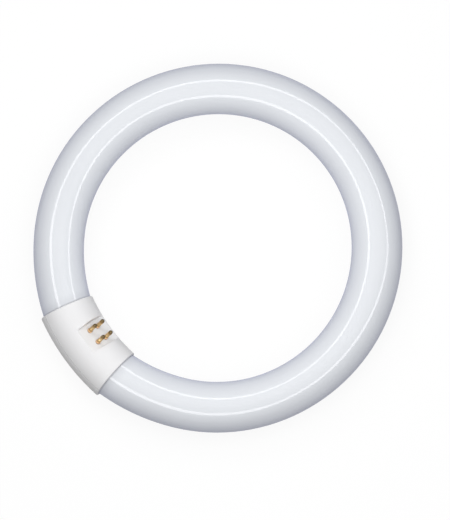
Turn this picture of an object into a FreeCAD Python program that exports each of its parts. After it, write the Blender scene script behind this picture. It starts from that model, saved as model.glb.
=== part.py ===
import FreeCAD, Part
import math
import os

from FreeCAD import Placement, Rotation, Vector

# A circular fluorescent lamp: a sealed ring of glass tube whose two ends meet in a moulded cap.
# The cap is two half shells. The front half carries a sunk platform with four crimped contact pins,
# which lean towards the middle of the ring, and a lead wire runs from the glass to each pin.
# Millimetres and degrees. The ring lies in the XY plane with its middle at the origin,
# the cap is at -Y and the pins are on the +Z side.

# Ring of glass tube
RING_DIAMETER = 212.0          # across the outside of the ring
TUBE_DIAMETER = 29.0
END_BEND_START = 40.0          # angle from the middle of the cap at which the gentler end bends start
END_SPREAD = 1.7               # how far the ends stand outside the ring's own mid-line

# Sealed ends of the tube, inside the cap
SEAL_SPAN = 40.0               # between the places where the two ends turn straight
SEAL_LENGTH = 5.5              # straight run at each end
SEAL_ROUNDING = 5.0
STEM_MOUTH_DIAMETER = 15.0     # flared recess of the stem
STEM_BASE_DIAMETER = 9.0
STEM_DEPTH = 13.0
TIP_DIAMETER = 4.0             # closed pumping tube that stands in the recess
TIP_LENGTH = 11.0
TIP_TAPER = 3.0                # drawn-out point at the end of the tip
TIP_POINT_DIAMETER = 1.0

# Cap shell
CAP_GRIP = 4.0                 # length of bent tube that the cap covers at each end
CAP_BEND_RADIUS = 115.0        # of the cap's own mid-line, a little straighter than the ring
CAP_STANDOFF = 1.5             # how far the cap stands proud of the tube
CAP_FIT = 0.2                  # room between the tube and the cap
CAP_WALL = 1.5
CAP_MOUTH_CHAMFER = 0.4
SEAM_TILT = 37.0               # how far the parting plane leans towards the middle of the ring
SEAM_GROOVE = 0.2              # half the width of the groove along the seam
TONGUE_HEIGHT = 1.4            # a tongue on the back half sits in a slot in the front half
TONGUE_THICKNESS = 0.4
TONGUE_DEPTH = 0.5             # below the outside of the cap
TONGUE_CLEARANCE = 0.05

# Pin platform
PIN_TILT = 41.0                # lean of the pins towards the middle of the ring
PLATFORM_HEIGHT = 12.3         # of the platform's face above the cap's mid-line
PLATFORM_LENGTH = 15.7         # of its face, along the tube
PLATFORM_DRAFT = 9.0           # slope of the walls at its two ends
PLATFORM_FLOOR = 1.5
PLATFORM_END_WALL = 1.2

# Contact pins
PIN_PITCH_ALONG = 7.92         # along the tube
PIN_PITCH_ACROSS = 6.35
PIN_LENGTH = 8.2               # above the platform
PIN_DIAMETER = 2.4
PIN_BEAD_DIAMETER = 3.0        # round bead at the root
PIN_BEAD_HEIGHT = 1.4
PIN_CRIMP_DIAMETER = 1.7
PIN_CRIMP_WIDTH = 1.6
PIN_CRIMP_WAIST = 0.5          # length of its narrowest stretch
PIN_CRIMP_HEIGHT = 4.2         # middle of the crimp above the platform
PIN_SHANK_DIAMETER = 1.9       # in the platform's hole
PIN_SHANK_CLEARANCE = 0.05
PIN_RIVET_DIAMETER = 3.0       # head that holds the pin under the platform
PIN_RIVET_HEIGHT = 0.7
PIN_TIP_WALL = 1.5             # solid metal at the tip, beyond the bore
PIN_BORE_CLEARANCE = 0.1       # round the lead wire

# Lead wires
WIRE_DIAMETER = 0.7
WIRE_BEND_RADIUS = 3.0
WIRE_LEAVES_STEM = 1.5         # straight run beyond the sealed end
WIRE_TURN_HEIGHT = 4.0         # above the cap's mid-line, where a wire turns up to its pin
WIRE_END_CLEARANCE = 0.2       # below the end of the pin's bore

UP = Vector(0, 0, 1)
ALONG = Vector(1, 0, 0)
MIDDLE = Vector(0, 0, 0)

tube_radius = TUBE_DIAMETER / 2
ring_radius = RING_DIAMETER / 2 - tube_radius
cap_radius = tube_radius + CAP_STANDOFF


def ring_point(radius, angle):
    """Point in the ring's plane, at an angle from the middle of the cap."""
    turn = math.radians(angle)
    return Vector(radius * math.sin(turn), -radius * math.cos(turn), 0)


# Mid-line of the tube's end on the +X side: an arc that leaves the ring smoothly and runs to the sealed end
end_bend_start = ring_point(ring_radius, END_BEND_START)
seal_start = ring_point(
    ring_radius + END_SPREAD,
    math.degrees(math.asin(SEAL_SPAN / 2 / (ring_radius + END_SPREAD))),
)
end_chord = seal_start - end_bend_start
end_bend_radius = -end_chord.Length ** 2 / (2 * end_chord.dot(ring_point(1, END_BEND_START)))
end_bend_centre = end_bend_start - ring_point(end_bend_radius, END_BEND_START)
seal_angle = math.degrees(math.asin((seal_start - end_bend_centre).x / end_bend_radius))
grip_angle = math.degrees(CAP_GRIP / end_bend_radius)
seal_direction = ring_point(-1, seal_angle + 90)
seal_end = seal_start + seal_direction * SEAL_LENGTH
stem_base = seal_end - seal_direction * STEM_DEPTH

# The cap's mid-line crosses the tube's halfway along the grip, and its mouths are at the end of the grip
cap_seat = end_bend_centre + ring_point(end_bend_radius, seal_angle + grip_angle / 2)
cap_mouth = end_bend_centre + ring_point(end_bend_radius, seal_angle + grip_angle)
cap_bend_centre = Vector(0, cap_seat.y + math.sqrt(CAP_BEND_RADIUS ** 2 - cap_seat.x ** 2), 0)
cap_middle = cap_bend_centre - Vector(0, CAP_BEND_RADIUS, 0)
cap_half_angle = math.degrees(math.atan2(cap_mouth.x, cap_bend_centre.y - cap_mouth.y))

# Platform's own frame: X along the tube, Y down the platform to the middle of the ring, Z along the pins
platform = Placement(cap_middle, Rotation(ALONG, -PIN_TILT))
wire_radius = WIRE_DIAMETER / 2
wire_offset = (STEM_BASE_DIAMETER + TIP_DIAMETER) / 4
pin_bore_top = PIN_LENGTH - PIN_TIP_WALL


def mirrored(shape):
    return shape.mirror(MIDDLE, ALONG)


def line(start, end):
    return Part.LineSegment(start, end).toShape()


def arc(start, through, end):
    return Part.Arc(start, through, end).toShape()


def disc(radius, centre, normal):
    return Part.Face(Part.Wire(Part.makeCircle(radius, centre, normal)))


def end_bend(radius, start):
    """Round bar along the end bend, from an angle about the bend's centre to the sealed end."""
    section = disc(radius, end_bend_centre + ring_point(end_bend_radius, start), ring_point(1, start + 90))
    return section.revolve(end_bend_centre, UP, seal_angle - start)


def glass_tube():
    """The sealed ring: one long bend, two gentler end bends and two rounded, straight sealed ends."""
    section = disc(tube_radius, end_bend_start, ring_point(1, END_BEND_START + 90))
    ring = section.revolve(MIDDLE, UP, 360 - 2 * END_BEND_START)
    end = end_bend(tube_radius, END_BEND_START)
    seal = Part.makeCylinder(tube_radius, SEAL_LENGTH, seal_start, seal_direction)
    rim = [edge for edge in seal.Edges if edge.BoundBox.Center.distanceToPoint(seal_end) < SEAL_ROUNDING / 2]
    seal = seal.makeFillet(SEAL_ROUNDING, rim)
    end = end.fuse(seal).cut(stem_recess()).fuse(pumping_tip())
    return ring.fuse([end, mirrored(end)]).removeSplitter()


def stem_recess():
    """The flared hollow at a sealed end."""
    return Part.makeCone(
        STEM_BASE_DIAMETER / 2, STEM_MOUTH_DIAMETER / 2, STEM_DEPTH, stem_base, seal_direction
    )


def pumping_tip():
    """The glass stub, drawn out to a point, that closes the pumping hole."""
    radius = TIP_DIAMETER / 2
    straight = TIP_LENGTH - TIP_TAPER
    stub = Part.makeCylinder(radius, straight, stem_base, seal_direction)
    taper_start = stem_base + seal_direction * straight
    return stub.fuse(Part.makeCone(radius, TIP_POINT_DIAMETER / 2, TIP_TAPER, taper_start, seal_direction))


def section_point(radius, angle):
    """Point in the cap's middle cross-section, at an angle from its crest towards the middle of the ring."""
    turn = math.radians(angle)
    return cap_middle + Vector(0, radius * math.sin(turn), radius * math.cos(turn))


def section_band(inner, outer, start, stop):
    """Face of a curved band in the cap's middle cross-section."""
    halfway = (start + stop) / 2
    outside = [section_point(outer, angle) for angle in (start, halfway, stop)]
    inside = [section_point(inner, angle) for angle in (stop, halfway, start)]
    edges = [
        arc(*outside),
        line(outside[-1], inside[0]),
        arc(*inside),
        line(inside[-1], outside[0]),
    ]
    return Part.Face(Part.Wire(edges))


def along_cap(face):
    """Solid that the cross-section makes along the whole length of the cap."""
    mouth = face.copy()
    mouth.rotate(cap_bend_centre, UP, -cap_half_angle)
    return mouth.revolve(cap_bend_centre, UP, 2 * cap_half_angle)


def half_shell(start, stop):
    """Half of the cap's wall, with its outer edges at both mouths chamfered."""
    shell = along_cap(section_band(cap_radius - CAP_WALL, cap_radius, start, stop))
    rims = [edge for edge in shell.Edges if is_arc(edge, cap_radius)]
    return shell.makeChamfer(CAP_MOUTH_CHAMFER, rims)


def is_arc(edge, radius):
    return isinstance(edge.Curve, Part.Circle) and math.isclose(edge.Curve.Radius, radius, rel_tol=1e-6)


seam_angles = (SEAM_TILT - 90, SEAM_TILT + 90)


def seam_tongues(clearance):
    """Tongue on each side of the cap, from the seam into the front half, larger by a clearance."""
    outer = cap_radius - TONGUE_DEPTH + clearance
    inner = cap_radius - TONGUE_DEPTH - TONGUE_THICKNESS - clearance
    turn = math.degrees((TONGUE_HEIGHT + clearance) / cap_radius)
    first, last = seam_angles
    return [
        along_cap(section_band(inner, outer, first, first + turn)),
        along_cap(section_band(inner, outer, last - turn, last)),
    ]


def tube_rooms():
    """Room for the two tube ends, a little larger than the glass, open past the cap's mouths."""
    radius = tube_radius + CAP_FIT
    room = end_bend(radius, seal_angle + 2 * grip_angle)
    room = room.fuse(Part.makeCylinder(radius, SEAL_LENGTH + CAP_FIT, seal_start, seal_direction))
    return [room, mirrored(room)]


def seam_grooves():
    """The V-shaped groove that runs along both seams."""
    grooves = []
    for angle in seam_angles:
        turn = math.degrees(SEAM_GROOVE / cap_radius)
        corners = [
            section_point(cap_radius - SEAM_GROOVE, angle),
            section_point(cap_radius, angle - turn),
            section_point(cap_radius + SEAM_GROOVE, angle),
            section_point(cap_radius, angle + turn),
        ]
        grooves.append(along_cap(Part.Face(Part.makePolygon(corners + corners[:1]))))
    return grooves


def platform_block(length, bottom, top):
    """Block across the whole cap with sloping ends, in the platform's own frame, by its length at the face."""
    slope = math.tan(math.radians(PLATFORM_DRAFT))
    low = length / 2 + (bottom - PLATFORM_HEIGHT) * slope
    high = length / 2 + (top - PLATFORM_HEIGHT) * slope
    corners = [
        Vector(-low, -cap_radius, bottom),
        Vector(low, -cap_radius, bottom),
        Vector(high, -cap_radius, top),
        Vector(-high, -cap_radius, top),
    ]
    block = Part.Face(Part.makePolygon(corners + corners[:1])).extrude(Vector(0, 2 * cap_radius, 0))
    block.Placement = platform
    return block


def cap_front():
    """Half shell on the pins' side, with the sunk platform, its end walls and the pin holes."""
    shell = half_shell(*seam_angles).cut(seam_tongues(TONGUE_CLEARANCE))
    outside = along_cap(disc(cap_radius, cap_middle, ALONG))
    tray_length = PLATFORM_LENGTH + 2 * PLATFORM_END_WALL
    tray = platform_block(tray_length, PLATFORM_HEIGHT - PLATFORM_FLOOR, cap_radius).common(outside)
    notch = platform_block(PLATFORM_LENGTH, PLATFORM_HEIGHT, 2 * cap_radius)
    hole_radius = PIN_SHANK_DIAMETER / 2 + PIN_SHANK_CLEARANCE
    holes = [Part.makeCylinder(hole_radius, cap_radius, Vector(x, y, 0)) for x, y in pin_places()]
    for hole in holes:
        hole.Placement = platform.multiply(hole.Placement)
    return shell.fuse(tray).cut([notch] + holes + seam_grooves() + tube_rooms()).removeSplitter()


def cap_back():
    """Plain half shell, with the tongues that sit in the front half's slots."""
    first, last = seam_angles
    shell = half_shell(last, first + 360).fuse(seam_tongues(0))
    return shell.cut(seam_grooves() + tube_rooms()).removeSplitter()


def pin_places():
    """Middles of the four pins on the platform."""
    half_along = PIN_PITCH_ALONG / 2
    half_across = PIN_PITCH_ACROSS / 2
    return [(x, y) for x in (half_along, -half_along) for y in (-half_across, half_across)]


def contact_pin(x, y):
    """Turned pin: rivet head under the platform, round bead, crimped body with a round tip, blind bore."""
    radius = PIN_DIAMETER / 2
    bead = PIN_BEAD_DIAMETER / 2
    bead_foot = math.sqrt(bead ** 2 - (PIN_BEAD_HEIGHT / 2) ** 2)
    shank = PIN_SHANK_DIAMETER / 2
    rivet = PIN_RIVET_DIAMETER / 2
    bore = wire_radius + PIN_BORE_CLEARANCE
    under = -PLATFORM_FLOOR
    bottom = under - PIN_RIVET_HEIGHT
    waist = PIN_CRIMP_DIAMETER / 2
    waist_start = PIN_CRIMP_HEIGHT - PIN_CRIMP_WAIST / 2
    waist_end = PIN_CRIMP_HEIGHT + PIN_CRIMP_WAIST / 2
    crimp_start = PIN_CRIMP_HEIGHT - PIN_CRIMP_WIDTH / 2
    crimp_end = PIN_CRIMP_HEIGHT + PIN_CRIMP_WIDTH / 2
    dome = PIN_LENGTH - radius
    slant = radius * math.sqrt(0.5)

    def at(distance, height):
        return Vector(distance, 0, height)

    edges = [
        line(at(bore, bottom), at(rivet, bottom)),
        line(at(rivet, bottom), at(rivet, under)),
        line(at(rivet, under), at(shank, under)),
        line(at(shank, under), at(shank, 0)),
        line(at(shank, 0), at(bead_foot, 0)),
        arc(at(bead_foot, 0), at(bead, PIN_BEAD_HEIGHT / 2), at(bead_foot, PIN_BEAD_HEIGHT)),
        line(at(bead_foot, PIN_BEAD_HEIGHT), at(radius, PIN_BEAD_HEIGHT)),
        line(at(radius, PIN_BEAD_HEIGHT), at(radius, crimp_start)),
        line(at(radius, crimp_start), at(waist, waist_start)),
        line(at(waist, waist_start), at(waist, waist_end)),
        line(at(waist, waist_end), at(radius, crimp_end)),
        line(at(radius, crimp_end), at(radius, dome)),
        arc(at(radius, dome), at(slant, dome + slant), at(0, PIN_LENGTH)),
        line(at(0, PIN_LENGTH), at(0, pin_bore_top)),
        line(at(0, pin_bore_top), at(bore, pin_bore_top)),
        line(at(bore, pin_bore_top), at(bore, bottom)),
    ]
    pin = Part.Face(Part.Wire(edges)).revolve(MIDDLE, UP, 360)
    pin.Placement = platform.multiply(Placement(Vector(x, y, PLATFORM_HEIGHT), Rotation()))
    return pin


def bent_wire(points):
    """Round wire through the points, with a tangent arc at each turn."""
    edges = []
    start = points[0]
    for before, corner, after in zip(points, points[1:], points[2:]):
        arriving = (corner - before).normalize()
        leaving = (after - corner).normalize()
        turn = arriving.getAngle(leaving)
        setback = WIRE_BEND_RADIUS * math.tan(turn / 2)
        inwards = (leaving - arriving).normalize()
        sag = WIRE_BEND_RADIUS / math.cos(turn / 2) - WIRE_BEND_RADIUS
        bend_start = corner - arriving * setback
        bend_end = corner + leaving * setback
        edges.append(line(start, bend_start))
        edges.append(arc(bend_start, corner + inwards * sag, bend_end))
        start = bend_end
    edges.append(line(start, points[-1]))
    path = Part.Wire(edges)
    profile = Part.Wire(Part.makeCircle(wire_radius, points[0], points[1] - points[0]))
    return path.makePipeShell([profile], True, False)


def lead_wire(x, y):
    """Wire from the stem at the pin's own end of the tube into the pin's bore."""
    aside = UP * -math.copysign(wire_offset, y)
    leaves = seal_end + seal_direction * WIRE_LEAVES_STEM
    pin_end = PLATFORM_HEIGHT + pin_bore_top - WIRE_END_CLEARANCE
    wire = bent_wire([
        stem_base + aside,
        leaves + aside,
        platform.multVec(Vector(abs(x), y, WIRE_TURN_HEIGHT)),
        platform.multVec(Vector(abs(x), y, pin_end)),
    ])
    return wire if x > 0 else mirrored(wire)


solids = {
    "glass_tube": glass_tube(),
    "cap_front": cap_front(),
    "cap_back": cap_back(),
}
for number, (x, y) in enumerate(pin_places(), start=1):
    solids[f"contact_pin_{number}"] = contact_pin(x, y)
    solids[f"lead_wire_{number}"] = lead_wire(x, y)

os.makedirs("parts", exist_ok=True)
for name, solid in solids.items():
    solid.exportStep(f"parts/{name}.step")
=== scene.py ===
import math

import bpy
from mathutils import Euler, Matrix, Vector


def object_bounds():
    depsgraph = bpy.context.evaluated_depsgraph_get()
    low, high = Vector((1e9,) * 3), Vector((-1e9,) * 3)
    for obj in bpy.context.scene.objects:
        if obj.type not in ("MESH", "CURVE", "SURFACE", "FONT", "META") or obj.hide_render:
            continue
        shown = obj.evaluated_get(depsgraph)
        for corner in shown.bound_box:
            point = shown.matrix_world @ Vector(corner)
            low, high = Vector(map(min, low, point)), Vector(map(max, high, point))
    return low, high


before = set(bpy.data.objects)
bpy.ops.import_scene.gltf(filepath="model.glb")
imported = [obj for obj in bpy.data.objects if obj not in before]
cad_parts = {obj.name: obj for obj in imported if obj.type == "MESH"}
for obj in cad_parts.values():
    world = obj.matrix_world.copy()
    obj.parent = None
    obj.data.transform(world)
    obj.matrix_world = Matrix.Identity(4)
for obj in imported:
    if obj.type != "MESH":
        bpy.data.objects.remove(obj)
cad_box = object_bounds()

# A circular fluorescent tube lying flat on a pale floor, seen from nearly straight above.
# Metres and degrees. The ring's middle is at the origin, the cap is at -Y and the pins are on the +Z side.
# Colours are linear red, green, blue and alpha. A level is a brightness, where 1 is white.

# View
PHOTO_WIDTH = 450              # pixels
PHOTO_HEIGHT = 520
RING_MIDDLE_ACROSS = 217.45    # pixels from the photo's left edge
RING_MIDDLE_DOWN = 247.70      # pixels from its top edge
PIXELS_PER_METRE = 1744.5      # at the ring's middle
VIEW_TURN = 53.6               # from +X to the photo's right
VIEW_TILT = 6.0                # from straight above
VIEW_TILT_TURN = 316.0         # side that the camera leans to, from the photo's right
CAMERA_HEIGHT = 2.5

# Softbox overhead, with a bright rounded frame that shows only in gloss
BOX_HEIGHT = 2.0
BOX_TURN = 30.0                # from the photo's right to the softbox's longer side
BOX_REACH_AHEAD = 52.0         # angles from the view's direction to its four edges
BOX_REACH_BEHIND = 36.0
BOX_REACH_LEFT = 42.0
BOX_REACH_RIGHT = 35.0
BOX_LEVEL = 0.70
FRAME_DROP = 0.1               # below the softbox
FRAME_LEVEL = 5.8              # as a multiple of the softbox's level
FRAME_START = 0.75             # inner edge, as a share of the half-width
FRAME_ROUNDNESS = 4.0          # power of its outline, where 2 is an ellipse

# Lamps that show in no gloss, each with its share of the light on a level surface
KEY_SHARE = 0.12
KEY_DISTANCE = 0.8
KEY_SIZE = 0.3
KEY_LEAN = 45.0                # from the view's direction
KEY_TURN = 118.0               # from the photo's right
FILL_SHARE = 0.285
FILL_DISTANCE = 0.3            # from the ring's middle toward the camera
FILL_SIZE = 0.15

# Surroundings and floor
AMBIENT = 0.43                 # level of the light on surfaces from all sides
SURROUNDINGS_IN_GLOSS = 0.3
FLOOR_SIZE = 24.0
FLOOR_PALE = 0.95              # the floor's colour where it is seen
FLOOR_GREY = 0.3               # and where it only throws light back
FLOOR_WHITE = 0.9              # share of plain white in what is seen of the floor; the rest has the shadow
FLOOR_WHITE_IN_GLOSS = 0.4

# Coated glass, with grain in features per metre
COATING_DIM = (0.695, 0.715, 0.744, 1.0)
COATING_BRIGHT = (0.740, 0.758, 0.782, 1.0)
MOTTLE_GRAIN = 40.0
POWDER_GRAIN = 1400.0
POWDER_SHARE = 0.3             # of the fine powder in the mottling
END_GREY = 0.18                # share of grey at the cap's mouths, fading along the tube
END_GREY_LENGTH = 0.007
END_GREY_COLOUR = (0.3, 0.3, 0.33, 1.0)
MOUTH_SHADE = 0.5              # share of painted shade, a dark line in the corner of the mouth
MOUTH_SHADE_WIDTH = 0.0012
MOUTH_SHADE_COLOUR = (0.12, 0.12, 0.14, 1.0)
GLASS_SHEEN_TINT = (0.2, 0.3, 1.0, 1.0)

# Cap
CAP_BEND_MIDDLE = 0.02245      # Y of the point about which the cap is bent
CAP_BEND_RADIUS = 0.115
CAP_HALF_ANGLE = 11.9          # from the cap's middle to a mouth, about that point
PLASTIC_DIM = (0.735, 0.732, 0.741, 1.0)
PLASTIC_BRIGHT = (0.77, 0.767, 0.775, 1.0)
# Lighter colour for the painted highlight at the seam and the painted light on the platform
PLASTIC_PAINTED_LIGHT = (0.95, 0.95, 0.96, 1.0)
PLASTIC_ROUGHNESS = (0.55, 0.68)
CLOUD_GRAIN = 60.0
SATIN_GRAIN = 2600.0
SATIN_DEPTH = 0.0002
SATIN_STRENGTH = 0.12          # share of that depth
SEAM_HEIGHT = 0.00963          # of the seam on the outer side; the inner one is as far below the mid-line
SEAM_GRIME = 0.6               # share of dark in the seam's groove
SEAM_GRIME_WIDTH = 0.0003
SEAM_GRIME_COLOUR = (0.1, 0.1, 0.1, 1.0)
SEAM_LIP_HIGHLIGHT = 0.25                # share of painted highlight on the front half's edge at the seam
SEAM_LIP_HIGHLIGHT_WIDTH = 0.0014
PLATFORM_PAINTED_LIGHT = 0.22          # share of painted light on the pin platform's face
PLATFORM_LENGTH = 0.0157
PLATFORM_LEVEL = -0.04842      # of its face along the pins' direction
PLATFORM_FLATNESS = 0.0001

# Pins, with colours in order from the platform to the tip, including painted shade on the neck, a painted
# glint on the crimp and a painted dark reflection at the tip
PIN_LEAN = 41.0                # from +Z toward the ring's middle
PIN_LENGTH = 0.0082
PIN_ROOT = (0.18, 0.13, 0.06, 1.0)
PIN_CORNER = (0.30, 0.21, 0.10, 1.0)
PIN_BEAD = (1.0, 0.70, 0.46, 1.0)
PIN_BEAD_TOP = (0.98, 0.68, 0.42, 1.0)
# painted shade on the neck
PIN_NECK_SHADE = (0.42, 0.28, 0.12, 1.0)
PIN_SHANK = (0.82, 0.58, 0.28, 1.0)
# painted glint on the crimp
PIN_CRIMP_GLINT = (0.94, 0.72, 0.40, 1.0)
PIN_SHOULDER = (0.52, 0.34, 0.15, 1.0)
# painted dark reflection at the tip
PIN_TIP_DARK_REFLECTION = (0.17, 0.13, 0.07, 1.0)
PIN_ROUGHNESS = (0.4, 0.25)
TARNISH = 0.3                  # largest share
TARNISH_COLOUR = (0.30, 0.19, 0.07, 1.0)
TARNISH_GRAIN = 900.0

# Lead wires
WIRE_DIM = (0.50, 0.47, 0.43, 1.0)
WIRE_BRIGHT = (0.66, 0.63, 0.58, 1.0)
WIRE_ROUGHNESS = (0.3, 0.45)
STREAK_GRAIN = 1500.0

# Places of the colour sockets on a mix node
MIX_COLOUR_A = 6
MIX_COLOUR_B = 7
MIX_COLOUR_RESULT = 2

# Turns the photo's right, its up and the direction to the camera into the ring's own directions
tilt_side = math.radians(VIEW_TILT_TURN)
tilt_axis = Vector((-math.sin(tilt_side), math.cos(tilt_side), 0))
view_turn = Matrix.Rotation(math.radians(VIEW_TURN), 3, "Z")
view_tilt = Matrix.Rotation(math.radians(VIEW_TILT), 3, tilt_axis)
view = view_turn @ view_tilt


def add(tree, kind, inputs=None, **settings):
    """New node, with its inputs linked where a socket is given and set where a value is given."""
    node = tree.nodes.new("ShaderNode" + kind)
    for name, value in settings.items():
        setattr(node, name, value)
    for name, value in (inputs or {}).items():
        if isinstance(value, bpy.types.NodeSocket):
            tree.links.new(value, node.inputs[name])
        else:
            node.inputs[name].default_value = value
    return node


def math_node(tree, operation, first, second=0.0):
    """Result of one operation on one or two numbers."""
    return add(tree, "Math", {0: first, 1: second}, operation=operation).outputs[0]


def mix_values(tree, share, first, second):
    """Number with a share of the second in the first."""
    return add(tree, "Mix", {"Factor": share, "A": first, "B": second}).outputs["Result"]


def mix_colours(tree, share, first, second):
    """Colour with a share of the second in the first."""
    inputs = {"Factor": share, MIX_COLOUR_A: first, MIX_COLOUR_B: second}
    return add(tree, "Mix", inputs, data_type="RGBA").outputs[MIX_COLOUR_RESULT]


def spread(tree, value, low, high):
    """Value from 0 to 1 mapped to a range."""
    return add(tree, "MapRange", {"Value": value, "To Min": low, "To Max": high}).outputs["Result"]


def fade(tree, distance, width, share, interpolation="LINEAR"):
    """Share at no distance, which fades to nothing over a width."""
    inputs = {"Value": distance, "From Max": width, "To Min": share, "To Max": 0.0}
    return add(tree, "MapRange", inputs, interpolation_type=interpolation).outputs["Result"]


def colour_ramp(tree, value, stops):
    """Colour that follows a value through stops, which start at 0 and each have a place and a colour."""
    ramp = add(tree, "ValToRGB", {"Fac": value})
    elements = ramp.color_ramp.elements
    elements.remove(elements[1])
    for place, colour in stops:
        stop = elements.new(place) if place else elements[0]
        stop.color = colour
    return ramp.outputs["Color"]


def own_place(tree):
    """Place on the piece, in the ring's own coordinates."""
    return add(tree, "TexCoord").outputs["Object"]


def noise(tree, grain, detail):
    """Cloudy pattern from 0 to 1, with its grain in features per metre."""
    return add(tree, "TexNoise", {"Vector": own_place(tree), "Scale": grain, "Detail": detail}).outputs["Fac"]


def new_material(name):
    """Material with no nodes, and its node tree."""
    material = bpy.data.materials.new(name)
    material.use_nodes = True
    material.node_tree.nodes.clear()
    return material, material.node_tree


def finish_material(material, surface):
    """The material, with its surface joined to its output."""
    add(material.node_tree, "OutputMaterial", {"Surface": surface})
    return material


def from_mouth(tree):
    """Distance along the tube from the nearer mouth of the cap."""
    mouth_angle = math.radians(CAP_HALF_ANGLE)
    place = add(tree, "SeparateXYZ", {0: own_place(tree)})
    beside = math_node(tree, "ABSOLUTE", place.outputs["X"])
    above = math_node(tree, "SUBTRACT", place.outputs["Y"], CAP_BEND_MIDDLE)
    along = math_node(tree, "MULTIPLY", beside, math.cos(mouth_angle))
    across = math_node(tree, "MULTIPLY", above, math.sin(mouth_angle))
    return math_node(tree, "ADD", along, across)


def coated_glass():
    """Clear glossy glass over a matt, faintly mottled white powder coating, greyer next to the cap, with
    painted shade in the corner at the cap's mouths.
    """
    material, tree = new_material("coated_glass")
    mottle = noise(tree, MOTTLE_GRAIN, detail=3.0)
    powder = noise(tree, POWDER_GRAIN, detail=2.0)
    patches = mix_values(tree, POWDER_SHARE, mottle, powder)
    white = mix_colours(tree, patches, COATING_DIM, COATING_BRIGHT)
    distance = from_mouth(tree)
    end = fade(tree, distance, END_GREY_LENGTH, END_GREY, interpolation="SMOOTHERSTEP")
    grey = mix_colours(tree, end, white, END_GREY_COLOUR)
    # Painted shade: a dark line along the tube where it enters the cap
    seam_grime_and_mouth_shade = fade(tree, distance, MOUTH_SHADE_WIDTH, MOUTH_SHADE)
    shader = add(tree, "BsdfPrincipled", {
        "Base Color": mix_colours(tree, seam_grime_and_mouth_shade, grey, MOUTH_SHADE_COLOUR),
        "Roughness": 0.9,
        "Specular IOR Level": 0.0,
        "Coat Weight": 1.0,
        "Coat Roughness": 0.08,
        "Coat IOR": 1.5,
        "Sheen Weight": 0.25,
        "Sheen Roughness": 0.6,
        "Sheen Tint": GLASS_SHEEN_TINT,
    })
    return finish_material(material, shader.outputs["BSDF"])


def above_seam(tree):
    """Height above the seam on the same side of the cap, which is positive on the front half."""
    place = own_place(tree)
    height = add(tree, "SeparateXYZ", {0: place}).outputs["Z"]
    middle = (0, CAP_BEND_MIDDLE, 0)
    reach = add(tree, "VectorMath", {0: place, 1: middle}, operation="DISTANCE").outputs["Value"]
    side = math_node(tree, "SIGN", math_node(tree, "SUBTRACT", reach, CAP_BEND_RADIUS))
    return math_node(tree, "SUBTRACT", height, math_node(tree, "MULTIPLY", side, SEAM_HEIGHT))


def above_platform(tree):
    """Height above the platform's face, along the pins."""
    lean = math.radians(PIN_LEAN)
    axis = (0, math.sin(lean), math.cos(lean))
    level = add(tree, "VectorMath", {0: own_place(tree), 1: axis}, operation="DOT_PRODUCT").outputs["Value"]
    return math_node(tree, "SUBTRACT", level, PLATFORM_LEVEL)


def on_platform(tree):
    """1 on the platform's face and 0 on the rest of the cap."""
    place = add(tree, "SeparateXYZ", {0: own_place(tree)})
    beside = math_node(tree, "ABSOLUTE", place.outputs["X"])
    between = math_node(tree, "LESS_THAN", beside, PLATFORM_LENGTH / 2)
    off_level = math_node(tree, "ABSOLUTE", above_platform(tree))
    level = math_node(tree, "LESS_THAN", off_level, PLATFORM_FLATNESS)
    return math_node(tree, "MULTIPLY", between, level)


def painted_light_share(tree, above):
    """Share of painted light: a painted highlight on the front half's edge, fading from the seam, and painted
    light on the platform's face.
    """
    on_front = math_node(tree, "GREATER_THAN", above, 0.0)
    # Painted highlight along the front half's edge at the seam
    lip_highlight = math_node(tree, "MULTIPLY", on_front, fade(tree, above, SEAM_LIP_HIGHLIGHT_WIDTH, SEAM_LIP_HIGHLIGHT))
    # Painted light on the platform's face
    face_light = math_node(tree, "MULTIPLY", on_platform(tree), PLATFORM_PAINTED_LIGHT)
    return math_node(tree, "MAXIMUM", lip_highlight, face_light)


def cap_plastic():
    """Off-white moulded plastic with a fine satin grain and dark seams, a painted highlight on the front
    half's seam edge and painted light on the pin platform's face.
    """
    material, tree = new_material("cap_plastic")
    cloud = noise(tree, CLOUD_GRAIN, detail=3.0)
    satin = noise(tree, SATIN_GRAIN, detail=2.0)
    plain = mix_colours(tree, cloud, PLASTIC_DIM, PLASTIC_BRIGHT)
    above = above_seam(tree)
    # Painted highlight and painted light mixed into the plastic's colour
    with_painted_light = mix_colours(tree, painted_light_share(tree, above), plain, PLASTIC_PAINTED_LIGHT)
    seam_grime_and_mouth_shade = fade(tree, math_node(tree, "ABSOLUTE", above), SEAM_GRIME_WIDTH, SEAM_GRIME)
    bump = add(tree, "Bump", {"Height": satin, "Strength": SATIN_STRENGTH, "Distance": SATIN_DEPTH})
    shader = add(tree, "BsdfPrincipled", {
        "Base Color": mix_colours(tree, seam_grime_and_mouth_shade, with_painted_light, SEAM_GRIME_COLOUR),
        "Roughness": spread(tree, cloud, *PLASTIC_ROUGHNESS),
        "Sheen Weight": 0.25,
        "Sheen Roughness": 0.5,
        "Normal": bump.outputs["Normal"],
    })
    return finish_material(material, shader.outputs["BSDF"])


def pin_height(tree):
    """Height along a pin, from 0 at the platform to 1 at its tip."""
    inputs = {"Value": above_platform(tree), "From Max": PIN_LENGTH}
    return add(tree, "MapRange", inputs).outputs["Result"]


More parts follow.
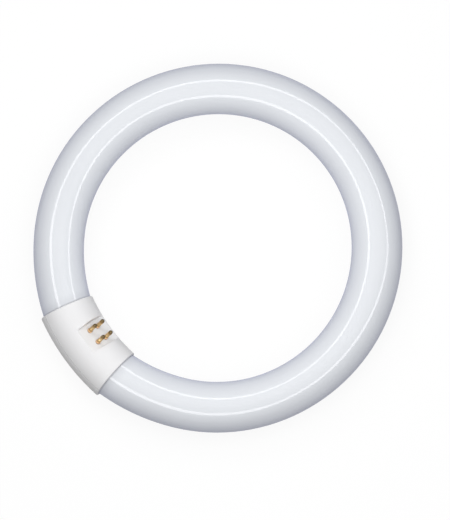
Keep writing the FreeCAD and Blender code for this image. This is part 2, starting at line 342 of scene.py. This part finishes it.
def pin_brass():
    """Brass with a coppery bead, darker at the root, painted shade on the neck, a painted glint on the crimp
    and a painted dark reflection at the tip, with random tarnish patches.
    """
    material, tree = new_material("pin_brass")
    tarnish = noise(tree, TARNISH_GRAIN, detail=4.0)
    # Painted shade, glint and dark reflection in bands along the pin
    brass = colour_ramp(tree, pin_height(tree), (
        (0.0, PIN_ROOT),
        (0.05, PIN_CORNER),
        (0.10, PIN_BEAD),
        (0.18, PIN_BEAD_TOP),
        (0.24, PIN_NECK_SHADE),
        (0.42, PIN_SHANK),
        (0.60, PIN_CRIMP_GLINT),
        (0.80, PIN_SHOULDER),
        (0.95, PIN_TIP_DARK_REFLECTION),
    ))
    patches = spread(tree, tarnish, 0.0, TARNISH)
    shader = add(tree, "BsdfPrincipled", {
        "Base Color": mix_colours(tree, patches, brass, TARNISH_COLOUR),
        "Metallic": 1.0,
        "Roughness": spread(tree, tarnish, *PIN_ROUGHNESS),
    })
    return finish_material(material, shader.outputs["BSDF"])


def lead_metal():
    """Bare drawn wire with faint streaks."""
    material, tree = new_material("lead_metal")
    streaks = noise(tree, STREAK_GRAIN, detail=3.0)
    shader = add(tree, "BsdfPrincipled", {
        "Base Color": mix_colours(tree, streaks, WIRE_DIM, WIRE_BRIGHT),
        "Metallic": 1.0,
        "Roughness": spread(tree, streaks, *WIRE_ROUGHNESS),
    })
    return finish_material(material, shader.outputs["BSDF"])


def dress(kind, material):
    """Give every piece of a kind its material, in its slot."""
    for name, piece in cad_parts.items():
        if name.startswith(kind):
            piece.data.materials.clear()
            piece.data.materials.append(material)


def by_ray(tree, in_view, in_gloss, otherwise):
    """One value for what is seen directly, one for what shows in gloss, and one for light on surfaces."""
    path = add(tree, "LightPath")
    gloss = math_node(tree, "MAXIMUM", path.outputs["Is Glossy Ray"], path.outputs["Is Transmission Ray"])
    unseen = spread(tree, gloss, otherwise, in_gloss)
    return mix_values(tree, path.outputs["Is Camera Ray"], unseen, in_view)


def floor_material():
    """Pale matt floor, seen as white with a faint shadow."""
    material, tree = new_material("floor")
    plain = add(tree, "BsdfDiffuse", {"Color": by_ray(tree, FLOOR_PALE, FLOOR_GREY, FLOOR_GREY)})
    white = add(tree, "Emission")
    share = by_ray(tree, FLOOR_WHITE, FLOOR_WHITE_IN_GLOSS, 0.0)
    mixed = add(tree, "MixShader", {0: share, 1: plain.outputs[0], 2: white.outputs[0]})
    return finish_material(material, mixed.outputs[0])


def make_floor():
    """Floor that the ring lies on."""
    half = FLOOR_SIZE / 2
    level = cad_box[0].z
    corners = [(-half, -half, level), (half, -half, level), (half, half, level), (-half, half, level)]
    mesh = bpy.data.meshes.new("floor")
    mesh.from_pydata(corners, [], [range(len(corners))])
    mesh.materials.append(floor_material())
    floor = bpy.data.objects.new("floor", mesh)
    bpy.context.scene.collection.objects.link(floor)


def make_world():
    """Surroundings that look white and light the ring softly from all sides."""
    world = bpy.data.worlds.new("surroundings")
    world.use_nodes = True
    tree = world.node_tree
    tree.nodes.clear()
    strength = by_ray(tree, 1.0, SURROUNDINGS_IN_GLOSS, AMBIENT)
    background = add(tree, "Background", {"Color": (1, 1, 1, 1), "Strength": strength})
    add(tree, "OutputWorld", {"Surface": background.outputs[0]})
    bpy.context.scene.world = world


def place_lamp(light, lean, turn, offset):
    """Lamp leaned from the view's direction and turned, at an offset in the photo's directions."""
    lamp = bpy.data.objects.new(light.name, light)
    lamp.location = view @ offset
    aim = Euler((math.radians(lean), 0, math.radians(turn)))
    lamp.rotation_euler = (view @ aim.to_matrix()).to_euler()
    lamp.visible_camera = False
    bpy.context.scene.collection.objects.link(lamp)
    return lamp


def make_softbox(name, height):
    """Wide lamp overhead, which reaches to the same angles from any height."""
    reaches = (BOX_REACH_AHEAD, BOX_REACH_BEHIND, BOX_REACH_LEFT, BOX_REACH_RIGHT)
    ahead, behind, left, right = (height * math.tan(math.radians(reach)) for reach in reaches)
    light = bpy.data.lights.new(name, "AREA")
    light.shape = "RECTANGLE"
    light.size = ahead + behind
    light.size_y = left + right
    light.energy = math.pi * light.size * light.size_y * BOX_LEVEL
    middle = Vector(((ahead - behind) / 2, (left - right) / 2, height))
    middle.rotate(Euler((0, 0, math.radians(BOX_TURN))))
    return place_lamp(light, 0, BOX_TURN, middle)


def frame_strength(tree):
    """Brightness of the softbox's frame, a band along the edge of a rounded rectangle."""
    place = add(tree, "SeparateXYZ", {0: add(tree, "NewGeometry").outputs["Parametric"]})
    along = spread(tree, place.outputs["X"], -1.0, 1.0)
    across = spread(tree, place.outputs["Y"], -1.0, 1.0)
    powers = [
        math_node(tree, "POWER", math_node(tree, "ABSOLUTE", value), FRAME_ROUNDNESS)
        for value in (along, across)
    ]
    reach = math_node(tree, "ADD", *powers)
    inside = math_node(tree, "LESS_THAN", reach, 1.0)
    band = math_node(tree, "GREATER_THAN", reach, FRAME_START ** FRAME_ROUNDNESS)
    return math_node(tree, "MULTIPLY", math_node(tree, "MULTIPLY", inside, band), FRAME_LEVEL)


def make_frame():
    """Frame of the softbox, just below it, which gives the tube its two lines of light."""
    lamp = make_softbox("softbox_frame", BOX_HEIGHT - FRAME_DROP)
    lamp.visible_diffuse = False
    lamp.data.use_nodes = True
    tree = lamp.data.node_tree
    tree.nodes.clear()
    emission = add(tree, "Emission", {"Strength": frame_strength(tree)})
    add(tree, "OutputLight", {"Surface": emission.outputs[0]})


def make_round_lamp(name, share, distance, size, lean=0, turn=0):
    """Round lamp that lights the ring's middle from a distance, and shows in no gloss."""
    light = bpy.data.lights.new(name, "AREA")
    light.shape = "DISK"
    light.size = size
    light.energy = share * (math.pi * distance) ** 2 / math.cos(math.radians(lean))
    spin = turn + 90           # a lean alone goes down the photo, a quarter turn short of its right
    offset = Vector((0, 0, distance))
    offset.rotate(Euler((math.radians(lean), 0, math.radians(spin))))
    lamp = place_lamp(light, lean, spin, offset)
    lamp.visible_glossy = False


def make_camera():
    """Camera nearly straight above, turned and placed so that the ring lies where the photo has it."""
    data = bpy.data.cameras.new("camera")
    data.lens = data.sensor_width * CAMERA_HEIGHT * PIXELS_PER_METRE / PHOTO_HEIGHT
    camera = bpy.data.objects.new("camera", data)
    across = (PHOTO_WIDTH / 2 - RING_MIDDLE_ACROSS) / PIXELS_PER_METRE
    up = (RING_MIDDLE_DOWN - PHOTO_HEIGHT / 2) / PIXELS_PER_METRE
    camera.location = view @ Vector((across, up, CAMERA_HEIGHT))
    camera.rotation_euler = view.to_euler()
    bpy.context.scene.collection.objects.link(camera)
    bpy.context.scene.camera = camera


dress("glass_tube", coated_glass())
dress("cap", cap_plastic())
dress("contact_pin", pin_brass())
dress("lead_wire", lead_metal())

make_floor()
make_world()
make_softbox("softbox", BOX_HEIGHT)
make_frame()
make_round_lamp("key", KEY_SHARE, KEY_DISTANCE, KEY_SIZE, KEY_LEAN, KEY_TURN)
make_round_lamp("fill", FILL_SHARE, FILL_DISTANCE, FILL_SIZE)
make_camera()
bpy.context.scene.view_settings.view_transform = "Standard"
